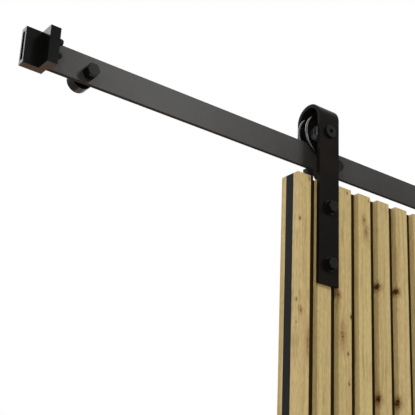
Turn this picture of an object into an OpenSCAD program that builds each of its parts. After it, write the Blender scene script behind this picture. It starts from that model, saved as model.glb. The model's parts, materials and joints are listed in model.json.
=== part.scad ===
// Top-hung sliding barn door: a slatted oak leaf on two strap hangers whose grooved
// wheels roll on a flat steel rail that stands off the wall.
// X runs along the rail, Y=0 is the wall plane with the room towards -Y, and Z=0 is the
// line of the wall fixings. The origin is the middle wall fixing.

/* [Rail] */
// Length of the rail
rail_length = 1920; // [1800:10:2200]
// Height of the rail's flat section
rail_height = 40; // [34:1:50]
// Thickness of the rail
rail_thickness = 6; // [5:0.5:8]
// Distance between neighbouring wall fixings
fixing_spacing = 440; // [400:5:460]
// Number of wall fixings
fixing_count = 5; // [3:2:5]
// Distance between the wall and the strap's back leg
wall_clearance = 3.5; // [2:0.5:10]

/* [Wall fixings] */
// Width across the flats of a wall bolt's head
wall_bolt_flats = 17; // [14:1:19]
// Thickness of a wall bolt's head
wall_bolt_head = 14; // [8:0.5:15]
// Diameter of a wall bolt's plain shank
wall_bolt_shank = 10; // [8:0.5:12]
// Diameter of a wall bolt's threaded end, inside the wall anchor
wall_bolt_thread = 9.6; // [7:0.2:12]
// Length of the threaded end past the wall plane
wall_bolt_grip = 9; // [6:0.5:60]
// Diameter of a standoff's flange against the wall
standoff_flange = 31; // [24:1:32]

/* [Wheel] */
// Diameter of the wheel over its flanges
wheel_diameter = 68; // [60:1:76]
// Diameter at the bottom of the wheel's groove
tread_diameter = 36.4; // [32:0.2:40]
// Width of the wheel over its flanges
wheel_width = 20; // [17:0.5:23]
// Diameter of the hub that stands out of both sides of the wheel
hub_diameter = 38; // [34:1:42]
// Distance that the hub stands out of each flange
hub_reach = 8.5; // [4:0.5:10]
// Diameter of the axle
axle_diameter = 10; // [8:0.5:12]
// Outer diameter of the ball bearing
bearing_diameter = 26; // [24:0.5:28]
// Width of the ball bearing
bearing_width = 8; // [6:0.5:9]
// Number of balls in the bearing
ball_count = 8; // [6:1:10]

/* [Hanger strap] */
// Width of the strap
strap_width = 40; // [30:1:50]
// Thickness of the strap
strap_thickness = 6; // [4:0.5:8]
// Height of the arch's centre above the axle
arch_rise = 23.8; // [20:0.1:40]
// Length of the back leg below the axle
back_leg_drop = 22.5; // [14:0.5:24]
// Distance from the door's top edge to the strap's upper bolt
upper_bolt_drop = 45; // [30:1:60]
// Distance between the strap's two bolts
strap_bolt_spacing = 90; // [60:1:120]
// Distance from the lower bolt to the strap's end
strap_tail = 31; // [20:1:50]
// Distance of the strap from the middle of the slat that it sits on
strap_shift = 3; // [-4:0.5:4]
// Width across the flats of a strap bolt's head
strap_bolt_flats = 16; // [13:1:17]
// Diameter of a strap bolt's flange
strap_bolt_flange = 23; // [20:1:26]
// Diameter of a strap bolt's shank
strap_bolt_shank = 10; // [6:0.5:11]

/* [Door leaf] */
// Number of slats on each face
slat_count = 24; // [20:1:26]
// Width of one slat
slat_width = 26; // [20:1:34]
// Gap between two slats
slat_gap = 16; // [6:1:20]
// Thickness of one slat
slat_thickness = 10; // [6:0.5:14]
// Thickness of the dark core board
core_thickness = 16; // [12:0.5:22]
// Height of the door leaf
door_height = 2040; // [1800:10:2300]
// Gap between the rail's bottom edge and the door's top edge
rail_door_gap = 22.3; // [14:0.1:40]
// Place of the leaf's middle, measured from the middle of the rail
door_place = -32.7; // [-300:0.1:300]

/* [Anti-jump blocks] */
// Distance of each block of a pair from the middle of its hanger
block_place = 20; // [14:0.5:26]
// Length of a block
block_length = 13; // [9:0.5:24]
// Thickness of a block
block_thickness = 9; // [8.5:0.5:11]
// Running gap between a block and the rail
block_gap = 3; // [1:0.5:6]

/* [End stops] */
// Length of the sleeve on the rail's end
sleeve_length = 32; // [24:1:40]
// Distance that the sleeve stands past the rail's end
sleeve_overhang = 14; // [1:0.5:16]
// Wall of the sleeve above and below the rail
sleeve_roof = 5.8; // [3:0.1:8]
// Wall of the sleeve in front of and behind the rail
sleeve_side = 3.2; // [2:0.1:5]
// Width of the leg that catches the strap
leg_width = 14.4; // [10:0.1:18]
// Distance that the leg stands in front of the strap
leg_proud = 4; // [1:0.5:8]
// Distance that the rubber buffers stand out of the leg
buffer_reach = 8; // [7:0.5:14]
// Diameter of a rubber buffer
buffer_diameter = 9; // [6:0.5:10]
// Diameter of the stem that holds a buffer in the leg
buffer_stem = 5; // [3:0.5:5]

/* [Floor guide] */
// Gap between the floor and the door's bottom edge
floor_gap = 10; // [6:1:20]
// Length of the guide's fin and base
guide_length = 40; // [30:1:44]
// Thickness of the guide's fin
guide_fin = 6; // [4:0.5:8]
// Width of the guide's base
guide_base_width = 44; // [34:1:60]
// Thickness of the guide's base
guide_base = 3; // [2:0.5:5]
// Depth of the groove in the door's bottom edge
groove_depth = 20; // [12:1:30]

/* [Hidden] */
$fn = 48;
// Clearances
bolt_play = 0.25;
axle_play = 0.1;
ring_play = 0.02;
race_play = 0.3;
tread_play = 0.3;
groove_play = 0.6;
guide_play = 0.5;
sleeve_play = 0.2;
stem_play = 0.1;
flange_play = 1;
neck_play = 3;
spin_play = 1;
cut = 1;

// Wheel, bearing and axle
tread_r = tread_diameter / 2;
wheel_r = wheel_diameter / 2;
hub_r = hub_diameter / 2;
axle_r = axle_diameter / 2;
bearing_r = bearing_diameter / 2;
half_bearing = bearing_width / 2;
half_wheel = wheel_width / 2;
half_hub = half_wheel + hub_reach;
rim_round = 2;
groove_half = rail_thickness / 2 + groove_play;
spacer_r = axle_r + 2.5;
race_wall = 2.3;
inner_race_r = axle_r + race_wall;
outer_race_r = bearing_r - race_wall;
ball_gap = 0.1;
ball_r = (outer_race_r - inner_race_r - race_play - ball_gap) / 2;
ball_pitch_r = outer_race_r - ball_gap - ball_r;

// Heights
flange_depth = wheel_r - tread_r - tread_play;
rail_top = wall_bolt_flats / 2 + flange_play + flange_depth;
rail_bottom = rail_top - rail_height;
axle_z = rail_top + tread_play + tread_r;
arch_z = axle_z + arch_rise;
door_top = rail_bottom - rail_door_gap;
door_bottom = door_top - door_height;
floor_z = door_bottom - floor_gap;
upper_bolt_z = door_top - upper_bolt_drop;
strap_bolt_zs = [upper_bolt_z, upper_bolt_z - strap_bolt_spacing];
strap_end_z = strap_bolt_zs[1] - strap_tail;

// Depths
strap_half_gap = half_hub + spin_play;
strap_half = strap_half_gap + strap_thickness;
rail_mid = -(wall_clearance + strap_half);
rail_back = rail_mid + rail_thickness / 2;
rail_front = rail_mid - rail_thickness / 2;
strap_inner = rail_mid - strap_half_gap;
strap_front = rail_mid - strap_half;
strap_back = rail_mid + strap_half;
core_front = strap_inner + slat_thickness;
core_back = core_front + core_thickness;
door_back = core_back + slat_thickness;
core_mid = (core_front + core_back) / 2;

// Places along the rail
slat_pitch = slat_width + slat_gap;
door_width = (slat_count - 1) * slat_pitch + slat_width;
door_left = door_place - door_width / 2;
strap_inset = slat_pitch + slat_width / 2 + strap_shift;
left_x = door_left + strap_inset;
right_x = door_left + door_width - strap_inset;
hanger_xs = [left_x, right_x];
fixing_xs = [for (i = [0 : fixing_count - 1]) (i - (fixing_count - 1) / 2) * fixing_spacing];

// Fasteners
standoff_r = standoff_flange / 2;
neck_r = wall_bolt_flats / 2;
neck_length = half_wheel - rail_thickness / 2 + neck_play;
wall_bolt_r = wall_bolt_shank / 2;
thread_r = wall_bolt_thread / 2;
thread_lead = 1.2;
axle_head_r = axle_r * 2;
axle_head = 4.5;
axle_socket_flats = 6;
axle_socket_depth = 3;
strap_bolt_r = strap_bolt_shank / 2;
strap_flange_r = strap_bolt_flange / 2;
strap_bolt_rim = 2.5;
strap_bolt_head = 8;
nut_rim = 2;
nut_height = 5;

// Anti-jump blocks
block_top = rail_bottom - block_gap;
block_height = block_top - door_top;
screw_r = 2;
screw_head_r = 4;
screw_cone = 2.4;
screw_bite = 30;
screw_play = 0.05;

// End stops
sleeve_end = rail_length / 2 + sleeve_overhang;
sleeve_start = sleeve_end - sleeve_length;
sleeve_bottom = rail_bottom - sleeve_roof;
sleeve_height = rail_height + 2 * sleeve_roof;
sleeve_front = rail_front - sleeve_side;
sleeve_back = rail_back + sleeve_side;
leg_front = strap_front - leg_proud;
leg_inset = 4.5;
leg_start = sleeve_start - leg_inset;
leg_relief = rail_mid - half_wheel - flange_play;
sleeve_grip = sleeve_length - sleeve_overhang;
buffer_r = buffer_diameter / 2;
buffer_round = 3;
buffer_y = strap_front + buffer_r;
buffer_rises = [12, 31];
stem_r = buffer_stem / 2;
stem_length = 9;
grub_r = 3;
grub_x = sleeve_start + sleeve_grip / 2;
grub_socket_flats = 3;
grub_socket_depth = 1.6;
grub_rises = [rail_height / 4, rail_height * 3 / 4];

// Floor guide
groove_width = guide_fin + 2 * guide_play;
fin_reach = groove_depth - 5;
guide_screw_place = guide_base_width / 2 - 8;
guide_screw_grip = 22;

steel_black = [0.09, 0.09, 0.1];
bright_steel = [0.72, 0.73, 0.75];
gloss_black = [0.03, 0.03, 0.035];
rubber_black = [0.05, 0.05, 0.05];
oak = [0.74, 0.6, 0.4];
core_black = [0.14, 0.14, 0.16];

// Round bar along Y between two depths
module rod_y(r, from, to) {
    translate([0, from, 0])
        rotate([-90, 0, 0])
            cylinder(h = to - from, r = r);
}

// Hexagonal prism along Z, with corners on X and the flats up and down once laid along Y
module hexagon(flats, height) {
    cylinder(h = height, r = flats / 2 / cos(30), $fn = 6);
}

// Hexagonal bolt head along Z with its upper corners turned off
module hex_head(flats, height) {
    face_share = 0.95;
    turn_slope = 1.73;
    face_r = flats / 2 * face_share;
    intersection() {
        hexagon(flats, height);
        cylinder(h = height, r1 = face_r + height * turn_slope, r2 = face_r);
    }
}

// Turns a shape built along +Z to face the room, with its base at the given depth
module facing_room(y) {
    translate([0, y, 0])
        rotate([90, 0, 0])
            children();
}

// Turns a shape built along +Z to face the wall, with its base at the given depth
module facing_wall(y) {
    translate([0, y, 0])
        rotate([-90, 0, 0])
            children();
}

// Draws a part of the left end again at the right end
module right_hand() {
    mirror([1, 0, 0])
        children();
}

// Box between two corners
module block(low, high) {
    translate(low)
        cube(high - low);
}

module rail() {
    half = rail_length / 2;
    color(steel_black)
        difference() {
            block([-half, rail_front, rail_bottom], [half, rail_back, rail_top]);
            for (x = fixing_xs)
                translate([x, 0, 0])
                    rod_y(wall_bolt_r + bolt_play, rail_front - cut, rail_back + cut);
        }
}

module standoff() {
    difference() {
        union() {
            rod_y(neck_r, rail_back, rail_back + neck_length);
            rod_y(standoff_r, rail_back + neck_length, 0);
        }
        rod_y(wall_bolt_r + bolt_play, rail_back - cut, cut);
    }
}

module wall_standoffs() {
    color(steel_black)
        for (x = fixing_xs)
            translate([x, 0, 0])
                standoff();
}

module wall_bolt() {
    facing_room(rail_front)
        hex_head(wall_bolt_flats, wall_bolt_head);
    rod_y(wall_bolt_r, rail_front, 0);
    rod_y(thread_r, 0, wall_bolt_grip);
    facing_wall(wall_bolt_grip)
        cylinder(h = thread_lead, r1 = thread_r, r2 = thread_r - thread_lead);
}

module wall_bolts() {
    color(steel_black)
        for (x = fixing_xs)
            translate([x, 0, 0])
                wall_bolt();
}

// Places of the two buffers on the leg, each facing the middle of the rail along +Z
module buffer_places() {
    for (rise = buffer_rises)
        translate([leg_start, buffer_y, rail_bottom + rise])
            rotate([0, -90, 0])
                children();
}

// Sleeve on the rail's end, drawn for the right end, with the leg that carries the buffers. The leg
// is cut back beside the rail, where the wheel's flange comes past.
module end_stop() {
    difference() {
        union() {
            block([sleeve_start, sleeve_front, sleeve_bottom],
                  [sleeve_end, sleeve_back, sleeve_bottom + sleeve_height]);
            block([leg_start, leg_front, sleeve_bottom],
                  [leg_start + leg_width, sleeve_front, sleeve_bottom + sleeve_height]);
        }
        block([leg_start - cut, leg_relief, sleeve_bottom - cut],
              [sleeve_start, sleeve_front + cut, sleeve_bottom + sleeve_height + cut]);
        block([sleeve_start - cut, rail_front - sleeve_play, rail_bottom - sleeve_play],
              [sleeve_end + cut, rail_back + sleeve_play, rail_top + sleeve_play]);
        for (rise = grub_rises)
            translate([grub_x, 0, rail_bottom + rise])
                rod_y(grub_r, rail_back, sleeve_back + cut);
        buffer_places()
            translate([0, 0, -stem_length])
                cylinder(h = stem_length + cut, r = stem_r + stem_play);
    }
}

module right_end_stop() {
    color(steel_black)
        end_stop();
}

module left_end_stop() {
    color(steel_black)
        right_hand()
            end_stop();
}

// Two rubber buffers pressed into the leg by their stems, with rounded ends that meet the strap
module buffer() {
    buffer_places()
        rotate_extrude() {
            translate([0, -stem_length])
                square([stem_r, stem_length]);
            square([buffer_r, buffer_reach - buffer_round]);
            square([buffer_r - buffer_round, buffer_reach]);
            translate([buffer_r - buffer_round, buffer_reach - buffer_round])
                intersection() {
                    circle(r = buffer_round);
                    square(buffer_round);
                }
        }
}

module right_buffer() {
    color(rubber_black)
        buffer();
}

module left_buffer() {
    color(rubber_black)
        right_hand()
            buffer();
}

// Grub screws that clamp one sleeve to the rail
module grub_pair() {
    for (rise = grub_rises)
        translate([grub_x, 0, rail_bottom + rise])
            difference() {
                rod_y(grub_r, rail_back, sleeve_back);
                facing_room(sleeve_back + cut)
                    hexagon(grub_socket_flats, grub_socket_depth + cut);
            }
}

module stop_screws() {
    color(steel_black) {
        grub_pair();
        right_hand()
            grub_pair();
    }
}

module countersunk(z, length) {
    translate([0, 0, z - screw_cone])
        cylinder(h = screw_cone, r1 = screw_r, r2 = screw_head_r);
    translate([0, 0, z - length])
        cylinder(h = length - screw_cone, r = screw_r);
}

// Space that a countersunk screw takes in the piece that it holds
module countersink(z, length) {
    translate([0, 0, z - screw_cone])
        cylinder(h = screw_cone, r1 = screw_r + screw_play, r2 = screw_head_r + screw_play);
    translate([0, 0, z - length])
        cylinder(h = length, r = screw_r + screw_play);
}

module guide_screw_places() {
    for (side = [-1, 1])
        translate([0, core_mid + side * guide_screw_place, 0])
            children();
}

module floor_guide() {
    half = guide_length / 2;
    color(steel_black)
        difference() {
            union() {
                block([-half, core_mid - guide_base_width / 2, floor_z],
                      [half, core_mid + guide_base_width / 2, floor_z + guide_base]);
                block([-half, core_mid - guide_fin / 2, floor_z],
                      [half, core_mid + guide_fin / 2, door_bottom + fin_reach]);
            }
            guide_screw_places()
                countersink(floor_z + guide_base, guide_base + cut);
        }
}

module floor_guide_screws() {
    color(steel_black)
        guide_screw_places()
            countersunk(floor_z + guide_base, guide_base + guide_screw_grip);
}

module strap_bolt_holes(from, to) {
    for (x = hanger_xs, z = strap_bolt_zs)
        translate([x, 0, z])
            rod_y(strap_bolt_r + bolt_play, from - cut, to + cut);
}

module block_screw_places() {
    for (x = hanger_xs, side = [-1, 1])
        translate([x + side * block_place, rail_mid, 0])
            children();
}

module door_core() {
    color(core_black)
        difference() {
            block([door_left, core_front, door_bottom], [door_left + door_width, core_back, door_top]);
            block([door_left - cut, core_mid - groove_width / 2, door_bottom - cut],
                  [door_left + door_width + cut, core_mid + groove_width / 2, door_bottom + groove_depth]);
            strap_bolt_holes(core_front, core_back);
            block_screw_places()
                countersink(block_top, block_height + screw_bite);
        }
}

// Row of upright slats between two depths
module slats(from, to) {
    difference() {
        for (i = [0 : slat_count - 1]) {
            x = door_left + i * slat_pitch;
            block([x, from, door_bottom], [x + slat_width, to, door_top]);
        }
        strap_bolt_holes(from, to);
    }
}

module front_slats() {
    color(oak)
        slats(strap_inner, core_front);
}

module back_slats() {
    color(oak)
        slats(core_back, door_back);
}

// Flat bar bent over the wheel: a long front leg, a half-round arch and a short back leg
module strap() {
    color(steel_black)
        difference() {
            translate([-strap_width / 2, rail_mid, 0])
                rotate([90, 0, 90])
                    linear_extrude(height = strap_width) {
                        difference() {
                            translate([0, arch_z])
                                circle(r = strap_half);
                            translate([0, arch_z])
                                circle(r = strap_half_gap);
                            translate([-strap_half - cut, arch_z - strap_half - cut])
                                square([2 * strap_half + 2 * cut, strap_half + cut]);
                        }
                        translate([-strap_half, strap_end_z])
                            square([strap_thickness, arch_z - strap_end_z]);
                        translate([strap_half_gap, axle_z - back_leg_drop])
                            square([strap_thickness, arch_z - axle_z + back_leg_drop]);
                    }
            translate([0, 0, axle_z])
                rod_y(axle_r + axle_play, strap_front - cut, strap_back + cut);
            for (z = strap_bolt_zs)
                translate([0, 0, z])
                    rod_y(strap_bolt_r + bolt_play, strap_front - cut, strap_inner + cut);
        }
}

module left_strap() {
    translate([left_x, 0, 0])
        strap();
}

module right_strap() {
    translate([right_x, 0, 0])
        strap();
}

// Flanged hexagon bolts through the strap and the leaf
module strap_bolts() {
    color(steel_black)
        for (z = strap_bolt_zs)
            translate([0, 0, z]) {
                rod_y(strap_flange_r, strap_front - strap_bolt_rim, strap_front);
                facing_room(strap_front - strap_bolt_rim)
                    hex_head(strap_bolt_flats, strap_bolt_head);
                rod_y(strap_bolt_r, strap_front, door_back + nut_rim);
            }
}

module left_strap_bolts() {
    translate([left_x, 0, 0])
        strap_bolts();
}

module right_strap_bolts() {
    translate([right_x, 0, 0])
        strap_bolts();
}

// Flanged nuts behind the leaf
module strap_nuts() {
    color(steel_black)
        for (z = strap_bolt_zs)
            translate([0, 0, z])
                difference() {
                    union() {
                        rod_y(strap_flange_r, door_back, door_back + nut_rim);
                        facing_wall(door_back + nut_rim)
                            hex_head(strap_bolt_flats, nut_height);
                    }
                    rod_y(strap_bolt_r + ring_play, door_back - cut, door_back + nut_rim);
                }
}

module left_strap_nuts() {
    translate([left_x, 0, 0])
        strap_nuts();
}

module right_strap_nuts() {
    translate([right_x, 0, 0])
        strap_nuts();
}

// Axle bolt with a low round head, screwed into the strap's back leg
module axle_bolt() {
    color(steel_black)
        translate([0, 0, axle_z]) {
            difference() {
                rod_y(axle_head_r, strap_front - axle_head, strap_front);
                facing_wall(strap_front - axle_head - cut)
                    hexagon(axle_socket_flats, axle_socket_depth + cut);
            }
            rod_y(axle_r, strap_front, strap_back);
        }
}

module left_axle_bolt() {
    translate([left_x, 0, 0])
        axle_bolt();
}

module right_axle_bolt() {
    translate([right_x, 0, 0])
        axle_bolt();
}

// Ring about the axle between two depths, measured from the wheel's middle
module axle_ring(inner, outer, from, to) {
    translate([0, rail_mid, axle_z])
        difference() {
            rod_y(outer, from, to);
            rod_y(inner, from - cut, to + cut);
        }
}

// Two sleeves that hold the bearing midway between the strap's legs
module spacers() {
    color(bright_steel) {
        axle_ring(axle_r + axle_play, spacer_r, half_bearing, strap_half_gap);
        axle_ring(axle_r + axle_play, spacer_r, -strap_half_gap, -half_bearing);
    }
}

module left_spacers() {
    translate([left_x, 0, 0])
        spacers();
}

module right_spacers() {
    translate([right_x, 0, 0])
        spacers();
}

module bearing_inner() {
    color(bright_steel)
        axle_ring(axle_r + ring_play, inner_race_r, -half_bearing, half_bearing);
}

module left_bearing_inner() {
    translate([left_x, 0, 0])
        bearing_inner();
}

module right_bearing_inner() {
    translate([right_x, 0, 0])
        bearing_inner();
}

module bearing_outer() {
    color(bright_steel)
        axle_ring(outer_race_r, bearing_r, -half_bearing, half_bearing);
}

module left_bearing_outer() {
    translate([left_x, 0, 0])
        bearing_outer();
}

module right_bearing_outer() {
    translate([right_x, 0, 0])
        bearing_outer();
}

module bearing_balls() {
    color(bright_steel)
        translate([0, rail_mid, axle_z])
            for (i = [0 : ball_count - 1])
                rotate([0, i * 360 / ball_count, 0])
                    translate([ball_pitch_r, 0, 0])
                        sphere(r = ball_r);
}

module left_bearing_balls() {
    translate([left_x, 0, 0])
        bearing_balls();
}

module right_bearing_balls() {
    translate([right_x, 0, 0])
        bearing_balls();
}

// Half section of the grooved wheel: radius across, distance from the middle plane up
module wheel_section() {
    rim_half = half_wheel - rim_round;
    polygon([
        [0, 0], [tread_r, 0], [tread_r, groove_half], [wheel_r - rim_round, rim_half - rim_round],
        [wheel_r, rim_half], [wheel_r - rim_round, half_wheel], [hub_r, half_wheel],
        [hub_r, half_hub - rim_round], [hub_r - rim_round, half_hub], [0, half_hub]
    ]);
    translate([wheel_r - rim_round, rim_half])
        circle(r = rim_round);
}

// Grooved wheel about Y with a bearing seat that opens to the front
module wheel() {
    shoulder_r = outer_race_r;
    color(gloss_black)
        translate([0, rail_mid, axle_z])
            difference() {
                for (turn = [-90, 90])
                    rotate([turn, 0, 0])
                        rotate_extrude()
                            wheel_section();
                rod_y(bearing_r + ring_play, -half_hub - cut, half_bearing);
                rod_y(shoulder_r, 0, half_hub + cut);
            }
}

module left_wheel() {
    translate([left_x, 0, 0])
        wheel();
}

module right_wheel() {
    translate([right_x, 0, 0])
        wheel();
}

// Pair of blocks on the leaf's top edge that stop the wheel from lifting off the rail
module anti_jump() {
    half_length = block_length / 2;
    half_thickness = block_thickness / 2;
    color(rubber_black)
        for (side = [-1, 1])
            translate([side * block_place, rail_mid, 0])
                difference() {
                    block([-half_length, -half_thickness, door_top],
                          [half_length, half_thickness, block_top]);
                    countersink(block_top, block_height + cut);
                }
}

module left_anti_jump() {
    translate([left_x, 0, 0])
        anti_jump();
}

module right_anti_jump() {
    translate([right_x, 0, 0])
        anti_jump();
}

module anti_jump_screws() {
    color(bright_steel)
        block_screw_places()
            countersunk(block_top, block_height + screw_bite);
}

rail();
wall_standoffs();
wall_bolts();
left_end_stop();
right_end_stop();
left_buffer();
right_buffer();
stop_screws();
floor_guide();
floor_guide_screws();
door_core();
front_slats();
back_slats();
left_strap();
right_strap();
left_strap_bolts();
right_strap_bolts();
left_strap_nuts();
right_strap_nuts();
left_axle_bolt();
right_axle_bolt();
left_spacers();
right_spacers();
left_bearing_inner();
right_bearing_inner();
left_bearing_outer();
right_bearing_outer();
left_bearing_balls();
right_bearing_balls();
left_wheel();
right_wheel();
left_anti_jump();
right_anti_jump();
anti_jump_screws();
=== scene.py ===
import json
import math

import bpy
from mathutils import Matrix, Vector


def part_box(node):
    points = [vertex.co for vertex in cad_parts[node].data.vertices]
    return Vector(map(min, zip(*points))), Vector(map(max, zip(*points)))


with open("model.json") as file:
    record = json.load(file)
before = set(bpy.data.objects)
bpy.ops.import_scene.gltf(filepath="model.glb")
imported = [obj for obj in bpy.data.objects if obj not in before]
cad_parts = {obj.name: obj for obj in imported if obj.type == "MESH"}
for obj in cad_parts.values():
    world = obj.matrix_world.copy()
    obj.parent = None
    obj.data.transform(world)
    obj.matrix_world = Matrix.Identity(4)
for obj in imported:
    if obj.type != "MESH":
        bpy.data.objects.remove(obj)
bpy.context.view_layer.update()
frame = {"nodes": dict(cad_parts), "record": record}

# Sizes of the slatted leaf, in millimetres like every texture coordinate below
MM = 0.001
SLAT_WIDTH = 26.0
SLAT_GAP = 16.0
SLAT_PITCH = SLAT_WIDTH + SLAT_GAP
SLATS_A_SIDE = 24

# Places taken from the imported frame
SLATS_LOW, SLATS_HIGH = (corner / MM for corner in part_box("front_slats"))
CORE_LOW, CORE_HIGH = (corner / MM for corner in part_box("door_core"))
DOOR_LEFT = SLATS_LOW.x
DOOR_TOP = SLATS_HIGH.z
CORE_MIDDLE = (CORE_LOW.y + CORE_HIGH.y) / 2
FLOOR_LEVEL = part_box("floor_guide")[0].z
AXLES = [sum(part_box(node), Vector()) / 2 / MM for node in ("left_wheel", "right_wheel")]

# Knots that show beside the left hanger, one of them partly a painted shadow: slat number, place across
# it from its middle, drop below the door's top, half width, half height and how dark the heart is
KNOTS_AND_PAINTED_SHADOW = [
    (1, -8, 74, 1.2, 2.2, 0.9),
    (1, -12, 198, 1, 2, 0.8),
    (1, -12, 231, 1, 2, 0.4),
    (1, 10, 5, 2, 4, 0.5),
    (1, -4, 212, 3, 5, 0.3),
    (1, 10, 256, 3, 18, 0.3),
    (3, 5, 7, 1.5, 2.5, 0.5),
    # Partly a knot, partly painted shadow: made large and dark to paint the strap's shadow under its
    # lower corner
    (3, -12, 174, 3, 5, 0.6),
    (3, 12, 203, 1.5, 2.5, 0.9),
    (3, -5, 234, 5, 16, 0.35),
    (3, 6, 260, 1.3, 2, 0.9),
    (3, 8, 304, 1.3, 2, 0.8),
    (4, -1, 42, 3.5, 8, 0.3),
    (4, 3, 60, 4.5, 12, 0.3),
    (4, 9, 7, 1.2, 2, 0.4),
    (5, -15, 143, 4.5, 4.5, 1.2),
    (5, -17, 317, 5, 5.5, 1.3),
    (6, -13.5, 142, 4.5, 4, 1.2),
    (6, -17, 317, 5, 5.5, 1.3),
]
# The corner of the leaf that the listed knots cover, where none are scattered
LISTED_SLATS = 8
LISTED_DROP = 430.0


def linear(red, green, blue):
    """A screen colour, 0 to 255, as the linear colour with alpha that shaders take."""
    def channel(value):
        value /= 255
        return value / 12.92 if value <= 0.04045 else ((value + 0.055) / 1.055) ** 2.4
    return (channel(red), channel(green), channel(blue), 1.0)


def background_rays(tree):
    """1 for the rays that show the background: the camera's, and those of a gloss or a clear piece."""
    path = tree.nodes.new("ShaderNodeLightPath")
    seen = path.outputs["Is Camera Ray"]
    for ray in ("Is Glossy Ray", "Is Transmission Ray"):
        either = tree.nodes.new("ShaderNodeMath")
        either.operation = "MAXIMUM"
        tree.links.new(seen, either.inputs[0])
        tree.links.new(path.outputs[ray], either.inputs[1])
        seen = either.outputs["Value"]
    return seen


class Shader:
    """A Principled material whose nodes are made by short calls that return outputs."""

    def __init__(self, name):
        self.material = bpy.data.materials.new(name)
        self.material.use_nodes = True
        self.tree = self.material.node_tree
        self.surface = self.tree.nodes["Principled BSDF"]

    def node(self, kind, inputs, **settings):
        made = self.tree.nodes.new("ShaderNode" + kind)
        for key, value in settings.items():
            setattr(made, key, value)
        for key, value in inputs.items():
            self.plug(made.inputs[key], value)
        return made

    def plug(self, socket, value):
        if isinstance(value, bpy.types.NodeSocket):
            self.tree.links.new(value, socket)
        else:
            socket.default_value = value

    def set(self, **inputs):
        """Sets the surface's own sockets, by their names with underscores for spaces."""
        for key, value in inputs.items():
            self.plug(self.surface.inputs[key.replace("_", " ")], value)

    def math(self, operation, *values):
        made = self.node("Math", dict(enumerate(values)), operation=operation)
        return made.outputs["Value"]

    def vector(self, operation, first, second):
        made = self.node("VectorMath", {0: first, 1: second}, operation=operation)
        return made.outputs["Vector"]

    def length(self, vector):
        made = self.node("VectorMath", {0: vector}, operation="LENGTH")
        return made.outputs["Value"]

    def join(self, x, y, z):
        return self.node("CombineXYZ", {0: x, 1: y, 2: z}).outputs["Vector"]

    def split(self, vector):
        return self.node("SeparateXYZ", {0: vector}).outputs[:3]

    def millimetres(self):
        """The point on the piece, in its own frame."""
        place = self.node("TexCoord", {}).outputs["Object"]
        return self.vector("MULTIPLY", place, (1 / MM,) * 3)

    def facing(self):
        """The direction in which the flat face looks, as x, y and z."""
        return self.split(self.node("NewGeometry", {}).outputs["True Normal"])

    def noise(self, vector, scale=1.0, detail=2.0, roughness=0.5):
        made = self.node("TexNoise", {
            "Vector": vector, "Scale": scale, "Detail": detail, "Roughness": roughness,
        })
        return made.outputs["Fac"]

    def random(self, *values):
        """Three numbers from 0 to 1 that change with every whole value."""
        vector = self.join(*(list(values) + [0.0] * (3 - len(values))))
        made = self.node("TexWhiteNoise", {"Vector": vector}, noise_dimensions="3D")
        return self.split(made.outputs["Color"])

    def ease(self, value, start, end, low=0.0, high=1.0):
        """Moves smoothly from low, where value is start, to high, where it is end."""
        made = self.node("MapRange", {
            "Value": value, "From Min": start, "From Max": end, "To Min": low, "To Max": high,
        }, interpolation_type="SMOOTHSTEP")
        return made.outputs["Result"]

    def spread(self, value, low, high):
        """A value from 0 to 1 spread between low and high."""
        return self.node("MapRange", {"Value": value, "To Min": low, "To Max": high}).outputs["Result"]

    def mix(self, factor, first, second, blend="MIX"):
        made = self.node("Mix", {}, data_type="RGBA", blend_type=blend)
        colours = [socket for socket in made.inputs if socket.type == "RGBA"]
        self.plug(made.inputs[0], factor)
        self.plug(colours[0], first)
        self.plug(colours[1], second)
        return [socket for socket in made.outputs if socket.type == "RGBA"][0]

    def bump(self, height, depth, strength):
        """A normal roughened by height, depth millimetres from its 0 to its 1."""
        made = self.node("Bump", {"Height": height, "Distance": depth * MM, "Strength": strength})
        return made.outputs["Normal"]


def knot_distance(wood, across, drop, board, inside):
    """How far a point is from the nearest knot, where 1 is the knot's rim. Pale knots stay further."""
    depth_share = 0.5
    flat = wood.math("MULTIPLY", inside, depth_share)
    apart = 100.0
    nearest = apart
    for slat, middle, below, half_width, half_height, dark in KNOTS_AND_PAINTED_SHADOW:
        on_slat = wood.math("COMPARE", board, slat - 1.0, 0.5)
        offset = wood.vector("SUBTRACT", wood.join(across, drop, flat), (middle, below, 0.0))
        offset = wood.vector("MULTIPLY", offset, (1 / half_width, 1 / half_height, 1 / half_width))
        reach = wood.math("ADD", wood.length(offset), 1.0 - dark)
        elsewhere = wood.math("MULTIPLY", wood.math("SUBTRACT", 1.0, on_slat), apart)
        nearest = wood.math("MINIMUM", nearest, wood.math("ADD", reach, elsewhere))

    # Scattered knots: at most one in each stretch of board, at a random place and size
    stretch = 260.0
    height_share = 0.6
    share_without = 0.45
    cell = wood.math("FLOOR", wood.math("DIVIDE", drop, stretch))
    side, along, size = wood.random(board, cell)
    middle = wood.spread(side, -SLAT_WIDTH * 0.5, SLAT_WIDTH * 0.5)
    below = wood.math("MULTIPLY", wood.math("ADD", cell, wood.spread(along, 0.15, 0.85)), stretch)
    half_width = wood.spread(wood.math("POWER", size, 3.0), 0.8, 3.2)
    offset = wood.join(wood.math("SUBTRACT", across, middle),
                       wood.math("MULTIPLY", wood.math("SUBTRACT", drop, below), height_share), flat)
    reach = wood.math("DIVIDE", wood.length(offset), half_width)
    absent = wood.math("LESS_THAN", size, share_without)
    listed = wood.math("MULTIPLY", wood.math("LESS_THAN", board, LISTED_SLATS),
                       wood.math("LESS_THAN", drop, LISTED_DROP))
    hidden = wood.math("MULTIPLY", wood.math("MAXIMUM", absent, listed), apart)
    return wood.math("MINIMUM", nearest, wood.math("ADD", reach, hidden))


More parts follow.
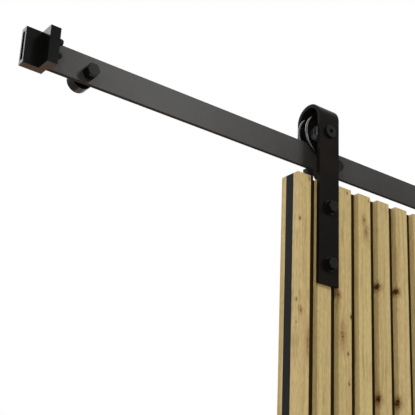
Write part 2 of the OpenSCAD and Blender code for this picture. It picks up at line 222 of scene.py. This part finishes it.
def oak(name):
    """Knotty oak under matte oil, its grain along the slats and no two slats alike."""
    light_wood = linear(188, 167, 115)
    dark_wood = linear(172, 149, 98)
    rosy_wood = linear(184, 158, 108)
    olive_wood = linear(174, 157, 102)
    smoky_wood = linear(142, 114, 68)
    pore_colour = linear(120, 92, 52)
    halo_colour = linear(128, 88, 46)
    knot_colour = linear(60, 38, 2)
    end_light = linear(172, 146, 98)
    end_dark = linear(124, 98, 58)

    wood = Shader(name)
    place = wood.millimetres()
    x, y, z = wood.split(place)

    # Which slat, and where on it
    step = wood.math("DIVIDE", wood.math("SUBTRACT", x, DOOR_LEFT - SLAT_GAP / 2), SLAT_PITCH)
    number = wood.math("FLOOR", step)
    within = wood.math("SUBTRACT", wood.math("SUBTRACT", step, number), 0.5)
    across = wood.math("MULTIPLY", within, SLAT_PITCH)
    behind = wood.math("GREATER_THAN", y, CORE_MIDDLE)
    board = wood.math("ADD", number, wood.math("MULTIPLY", behind, SLATS_A_SIDE))
    drop = wood.math("SUBTRACT", DOOR_TOP, z)
    tone, shift, hue = wood.random(board)
    shift = wood.math("MULTIPLY", shift, 900.0)

    # Grain lines wander along the board and part around the knots
    front_face = wood.math("SUBTRACT", wood.math("ABSOLUTE", wood.math("SUBTRACT", y, CORE_MIDDLE)),
                           CORE_MIDDLE - SLATS_LOW.y)
    inside = wood.math("ABSOLUTE", front_face)
    reach = knot_distance(wood, across, drop, board, inside)
    parting = wood.math("MULTIPLY", wood.ease(reach, 4.0, 0.0), 5.0)
    slow = wood.noise(wood.join(wood.math("MULTIPLY", across, 0.02), shift,
                                wood.math("MULTIPLY", z, 0.005)), detail=1.0)
    wander = wood.spread(slow, -9.0, 9.0)
    depth = wood.math("MULTIPLY", y, 0.7)
    line = wood.math("ADD", wood.math("ADD", across, depth), wood.math("ADD", wander, parting))

    def streaks(wide, long, detail, lift=0.0):
        """Streaks about wide by long millimetres, drawn out along the grain."""
        return wood.noise(wood.join(wood.math("DIVIDE", line, wide),
                                    wood.math("ADD", shift, lift),
                                    wood.math("DIVIDE", z, long)), detail=detail)

    rings = wood.ease(streaks(3.8, 700.0, 3.0), 0.32, 0.68)
    fibres = streaks(1.5, 9.0, 4.0, 31.0)
    pores = wood.ease(streaks(0.35, 14.0, 1.0, 57.0), 0.64, 0.74)
    tint = wood.ease(streaks(7.0, 260.0, 1.0, 83.0), 0.3, 0.7)

    colour = wood.mix(rings, dark_wood, light_wood)
    colour = wood.mix(wood.ease(tint, 0.55, 1.0, 0.0, 0.45), colour, rosy_wood)
    colour = wood.mix(wood.ease(tint, 0.45, 0.0, 0.0, 0.45), colour, olive_wood)
    smoke = wood.ease(streaks(6.0, 70.0, 4.0, 11.0), 0.54, 0.72, 0.0, 0.5)
    colour = wood.mix(smoke, colour, smoky_wood)
    colour = wood.mix(wood.math("MULTIPLY", pores, 0.4), colour, pore_colour)
    shade = wood.math("MULTIPLY", wood.spread(tone, 0.98, 1.04), wood.spread(fibres, 0.65, 1.35))
    colour = wood.mix(1.0, colour, wood.join(shade, shade, wood.math(
        "MULTIPLY", shade, wood.spread(hue, 0.95, 1.02))), blend="MULTIPLY")

    # Knots: a dark ragged heart in a brown halo; the one under the strap's corner also paints its
    # shadow
    ragged = wood.spread(wood.noise(place, 0.4, 4.0, 0.7), -1.5, 1.5)
    ragged_reach = wood.math("ADD", reach, ragged)
    halo = wood.ease(ragged_reach, 3.0, 0.9, 0.0, 0.72)
    heart = wood.ease(ragged_reach, 1.1, 0.7)
    colour = wood.mix(halo, colour, halo_colour)
    colour = wood.mix(heart, colour, knot_colour)

    # Sawn ends of the slats
    _, _, upward = wood.facing()
    sawn = wood.math("GREATER_THAN", wood.math("ABSOLUTE", upward), 0.5)
    end_rings = wood.noise(wood.join(wood.math("DIVIDE", line, 1.6),
                                     wood.math("DIVIDE", y, 5.0), shift), detail=2.0)
    end_pores = wood.ease(wood.noise(place, 2.6, 1.0), 0.6, 0.7)
    end_tone = wood.math("SUBTRACT", wood.ease(end_rings, 0.35, 0.65), end_pores)
    colour = wood.mix(sawn, colour, wood.mix(end_tone, end_dark, end_light))

    # Dull in the pores, a little smoother on the pale lines, and sunk where pores and knots are
    dullness = wood.math("ADD", wood.spread(rings, 0.62, 0.54), wood.math("MULTIPLY", pores, 0.15))
    relief = wood.math("SUBTRACT", wood.spread(fibres, 0.0, 0.6), wood.math("MULTIPLY", pores, 0.5))
    relief = wood.math("SUBTRACT", relief, wood.math("MULTIPLY", heart, 0.8))
    wood.set(Base_Color=colour, Roughness=dullness, Normal=wood.bump(relief, 0.12, 0.7),
             Specular_IOR_Level=0.25)
    return wood.material


def powder_coat(name, colour, dusty, roughness, specular, grain=0.55, peel_depth=0.06, painted_underside_reflection=None):
    """Baked black coating: a fine orange peel, faint cloudy patches and a soft gloss. Faces that look
    down may be
    made dull and given a painted reflection: a warm brown standing in for a wooden floor mirrored in
    them."""
    patch_change = 0.08
    dull_underside = 0.9
    coat = Shader(name)
    place = coat.millimetres()
    clouds = coat.noise(place, 0.018, 4.0, 0.6)
    peel = coat.noise(place, grain, 2.0, 0.5)
    specks = coat.ease(coat.noise(place, 1.7, 1.0), 0.66, 0.74)
    tone = coat.mix(coat.ease(clouds, 0.35, 0.65), colour, dusty)
    tone = coat.mix(coat.math("MULTIPLY", specks, 0.3), tone, dusty)
    patchy = coat.spread(clouds, roughness - patch_change, roughness + patch_change)
    # Downward faces: a dull finish, and a warm brown that paints the reflection of a wooden floor
    if painted_underside_reflection:
        _, _, upward = coat.facing()
        below = coat.ease(upward, -0.3, -0.7)
        tone = coat.mix(below, tone, painted_underside_reflection)
        patchy = coat.ease(below, 0.0, 1.0, patchy, dull_underside)
    coat.set(Base_Color=tone, Roughness=patchy, Normal=coat.bump(peel, peel_depth, 0.35),
             Specular_IOR_Level=specular)
    return coat.material


def axle_radius(shader, x, z):
    """Distance from the nearer hanger's axle, the same however far its wheel has turned."""
    left, right = AXLES
    middle = (left.x + right.x) / 2
    reach = (right.x - left.x) / 2
    along = shader.math("SUBTRACT", shader.math("ABSOLUTE", shader.math("SUBTRACT", x, middle)), reach)
    up = shader.math("SUBTRACT", z, left.z)
    return shader.length(shader.join(along, up, 0.0))


def turning_marks(shader, place, out, along):
    """Fine rings round the nearer axle, so many a millimetre outwards and along it."""
    x, y, z = shader.split(place)
    radius = axle_radius(shader, x, z)
    return shader.noise(shader.join(shader.math("MULTIPLY", radius, out),
                                    shader.math("MULTIPLY", y, along), 0.0), detail=3.0)


def gloss_plastic(name):
    """Moulded and polished black nylon: wiped smears round the wheel, a clear gloss."""
    plastic = Shader(name)
    place = plastic.millimetres()
    turned = turning_marks(plastic, place, 1.4, 0.3)
    smears = plastic.noise(place, 0.08, 3.0)
    tone = plastic.mix(turned, linear(9, 9, 10), linear(15, 15, 17))
    plastic.set(Base_Color=tone, Roughness=plastic.spread(smears, 0.05, 0.12),
                Normal=plastic.bump(turned, 0.006, 0.2), Specular_IOR_Level=1.0)
    return plastic.material


def turned_steel(name):
    """Bright bearing steel with the fine rings that turning and grinding leave."""
    steel = Shader(name)
    place = steel.millimetres()
    rings = turning_marks(steel, place, 3.0, 2.0)
    stain = steel.noise(place, 0.1, 3.0)
    tone = steel.mix(stain, linear(104, 104, 106), linear(146, 146, 148))
    steel.set(Base_Color=tone, Metallic=1.0, Roughness=steel.spread(rings, 0.22, 0.4),
              Normal=steel.bump(rings, 0.02, 0.3))
    return steel.material


def matte_black(name, colour, dusty, grain, depth):
    """Rubber and moulded plastic: a fine grain, dull and slightly dusty."""
    skin = Shader(name)
    place = skin.millimetres()
    grains = skin.noise(place, grain, 2.0)
    dust = skin.noise(place, 0.05, 4.0, 0.6)
    tone = skin.mix(skin.ease(dust, 0.4, 0.7), colour, dusty)
    skin.set(Base_Color=tone, Roughness=skin.spread(grains, 0.62, 0.82),
             Normal=skin.bump(grains, depth, 0.6), Specular_IOR_Level=0.2)
    return skin.material


def dyed_board_with_gap_shade(name):
    """Fibre board with a dark grey band on its edges, and dark brown faces behind the slats: painted
    shade of the gaps.
    """
    board = Shader(name)
    place = board.millimetres()
    flecks = board.noise(board.vector("MULTIPLY", place, (1.1, 1.1, 0.45)), 1.0, 3.0, 0.7)
    patches = board.noise(place, 0.02, 3.0)
    band = board.mix(flecks, linear(22, 22, 24), linear(32, 32, 34))
    band = board.mix(board.ease(patches, 0.45, 0.8, 0.0, 0.5), band, linear(26, 26, 28))
    # Faces behind the slats: a dark brown that paints the shade down in the narrow gaps between the
    # slats
    face = board.mix(flecks, linear(26, 18, 2), linear(42, 30, 6))
    _, outward, _ = board.facing()
    tone = board.mix(board.math("GREATER_THAN", board.math("ABSOLUTE", outward), 0.5), band, face)
    board.set(Base_Color=tone, Roughness=board.spread(flecks, 0.85, 0.7),
              Normal=board.bump(flecks, 0.1, 0.5), Specular_IOR_Level=0.12)
    return board.material


def pale_floor(name):
    """A plain pale floor with the faintest unevenness, which fades into the white far away."""
    fade_start = 1200.0
    fade_end = 4500.0
    floor = Shader(name)
    place = floor.millimetres()
    uneven = floor.noise(place, 0.002, 3.0)
    tone = floor.mix(uneven, linear(236, 235, 232), linear(242, 241, 239))
    floor.set(Base_Color=tone, Roughness=0.8, Specular_IOR_Level=0.1)

    x, y, _ = floor.split(place)
    far = floor.ease(floor.length(floor.join(x, y, 0.0)), fade_start, fade_end)
    white = floor.node("Emission", {"Color": (1.0, 1.0, 1.0, 1.0), "Strength": 1.0})
    faded = floor.node("MixShader", {
        0: floor.math("MULTIPLY", far, background_rays(floor.tree)),
        1: floor.surface.outputs["BSDF"],
        2: white.outputs["Emission"],
    })
    output = floor.tree.nodes["Material Output"]
    floor.plug(output.inputs["Surface"], faded.outputs["Shader"])
    return floor.material


MATERIALS = {
    # The rail's downward faces get a painted warm brown reflection of a wooden floor
    "rail_steel": powder_coat("rail_steel", linear(41, 40, 38), linear(46, 45, 42), roughness=0.27,
                              specular=0.2, peel_depth=0.02, painted_underside_reflection=linear(40, 27, 16)),
    "stop_steel": powder_coat("stop_steel", linear(8, 8, 7), linear(12, 12, 11), roughness=0.2,
                              specular=0.045),
    "strap_steel": powder_coat("strap_steel", linear(17, 14, 12), linear(22, 18, 15), roughness=0.22,
                               specular=0.03),
    "fastener_steel": powder_coat("fastener_steel", linear(9, 9, 9), linear(14, 14, 14), roughness=0.24,
                                  specular=0.09, grain=0.9),
    "bearing_steel": turned_steel("bearing_steel"),
    "wheel_nylon": gloss_plastic("wheel_nylon"),
    "buffer_rubber": matte_black("buffer_rubber", linear(16, 16, 16), linear(26, 26, 26),
                                 grain=1.6, depth=0.12),
    "block_plastic": matte_black("block_plastic", linear(14, 14, 15), linear(20, 20, 21),
                                 grain=2.4, depth=0.05),
    "oak": oak("oak"),
    "core_board": dyed_board_with_gap_shade("core_board"),
}

# How far the edges of each finish are broken, in millimetres
EDGE_BREAK = {
    "rail_steel": 0.25,
    "stop_steel": 0.4,
    "strap_steel": 1.4,
    "fastener_steel": 0.4,
    "bearing_steel": 0.25,
    "wheel_nylon": 0.5,
    "buffer_rubber": 0.6,
    "block_plastic": 0.8,
    "oak": 0.7,
    "core_board": 0.3,
}


def dress(node, slot):
    """Gives a CAD node its finish and breaks its sharp edges, so that they catch the light."""
    same_point = 1e-6
    flat_angle = math.radians(0.5)
    sharp_angle = math.radians(40)
    piece = frame["nodes"][node]
    piece.data.materials.clear()
    piece.data.materials.append(MATERIALS[slot])
    weld = piece.modifiers.new("weld", "WELD")
    weld.merge_threshold = same_point
    flat_faces = piece.modifiers.new("flat_faces", "DECIMATE")
    flat_faces.decimate_type = "DISSOLVE"
    flat_faces.angle_limit = flat_angle
    bevel = piece.modifiers.new("broken_edges", "BEVEL")
    bevel.width = EDGE_BREAK[slot] * MM
    bevel.segments = 3
    bevel.limit_method = "ANGLE"
    bevel.angle_limit = sharp_angle
    smooth = piece.modifiers.new("smooth_edges", "WEIGHTED_NORMAL")
    smooth.weight = 100


for subpart in frame["record"]["subparts"]:
    dress(subpart["node"], subpart["material_slot"])


def aim(lamp, target):
    """Turns a lamp to shine at a place."""
    lamp.rotation_mode = "QUATERNION"
    lamp.rotation_quaternion = (Vector(target) - lamp.location).to_track_quat("-Z", "Y")


def softbox(name, place, target, width, height, power, colour=(1.0, 1.0, 1.0), spread=180.0,
            glossy=True):
    """A flat studio lamp, hidden from the camera, whose light spreads over so many degrees. Without
    gloss it lights the pieces, but none of them mirrors it."""
    light = bpy.data.lights.new(name, "AREA")
    light.shape = "RECTANGLE"
    light.size = width
    light.size_y = height
    light.energy = power
    light.color = colour
    light.spread = math.radians(spread)
    lamp = bpy.data.objects.new(name, light)
    bpy.context.scene.collection.objects.link(lamp)
    lamp.location = place
    lamp.visible_camera = False
    lamp.visible_glossy = glossy
    aim(lamp, target)


def studio_world():
    """Soft light from all round on the object, and plain white where the camera or a gloss looks."""
    light_level = 0.4
    world = bpy.data.worlds.new("studio")
    bpy.context.scene.world = world
    world.use_nodes = True
    tree = world.node_tree
    tree.nodes.clear()
    either = tree.nodes.new("ShaderNodeMixShader")
    tree.links.new(background_rays(tree), either.inputs["Fac"])
    for place, strength in ((1, light_level), (2, 1.0)):
        white = tree.nodes.new("ShaderNodeBackground")
        white.inputs["Color"].default_value = (1.0, 1.0, 1.0, 1.0)
        white.inputs["Strength"].default_value = strength
        tree.links.new(white.outputs["Background"], either.inputs[place])
    output = tree.nodes.new("ShaderNodeOutputWorld")
    tree.links.new(either.outputs["Shader"], output.inputs["Surface"])


def studio_floor():
    """A square floor under the floor guide."""
    half = 9.0
    corners = [(-half, -half, FLOOR_LEVEL), (half, -half, FLOOR_LEVEL),
               (half, half, FLOOR_LEVEL), (-half, half, FLOOR_LEVEL)]
    mesh = bpy.data.meshes.new("floor")
    mesh.from_pydata(corners, [], [(0, 1, 2, 3)])
    mesh.materials.append(pale_floor("pale_floor"))
    floor = bpy.data.objects.new("floor", mesh)
    bpy.context.scene.collection.objects.link(floor)


def photo_camera():
    """The viewing angle: low, from the left, looking up along the rail."""
    place = Vector((-1.3822, -1.0071, -0.6124))
    yaw, pitch, roll = (math.radians(angle) for angle in (35.95, 18.72, 2.74))
    lens = bpy.data.cameras.new("camera")
    lens.sensor_width = 36.0
    lens.lens = 81.45
    lens.shift_y = 0.12
    heading = Vector((math.sin(yaw), math.cos(yaw), 0.0))
    forward = heading * math.cos(pitch) + Vector((0.0, 0.0, math.sin(pitch)))
    level = Vector((math.cos(yaw), -math.sin(yaw), 0.0))
    above = level.cross(forward)
    right = level * math.cos(roll) + above * math.sin(roll)
    up = above * math.cos(roll) - level * math.sin(roll)
    camera = bpy.data.objects.new("camera", lens)
    bpy.context.scene.collection.objects.link(camera)
    turn = Matrix((right, up, -forward)).transposed().to_4x4()
    camera.matrix_world = Matrix.Translation(place) @ turn
    bpy.context.scene.camera = camera


bpy.context.scene.view_settings.view_transform = "Standard"
studio_world()
studio_floor()
softbox("left_back_box", (-1.72, 2.3, 1.8), (-0.95, 0.0, -0.1), width=0.9, height=1.5, power=25.0)
softbox("top_back_box", (-0.7, 2.2, 2.8), (-0.5, 0.0, 0.0), width=2.0, height=2.0, power=25.0)
softbox("front_strip", (1.19, -3.2, 2.2), (-0.6, 0.0, 0.0), width=0.93, height=2.0, power=27.0)
softbox("front_fill", (0.6, -3.2, -0.7), (0.0, 0.0, -0.9), width=2.0, height=2.0, power=6.0)
softbox("left_box", (-3.1, -1.9, -0.6), (-0.3, 0.0, -0.9), width=2.0, height=2.0, power=24.0)
softbox("key_box", (-2.34, -2.15, 1.25), (-0.4, 0.0, -0.4), width=0.35, height=0.35, power=40.0,
        glossy=False)
softbox("floor_glow", (0.05, 3.0, -1.9), (-0.9, 0.0, 0.0), width=1.0, height=1.0, power=1.0,
        colour=(1.0, 0.5, 0.22), spread=50.0)
photo_camera()
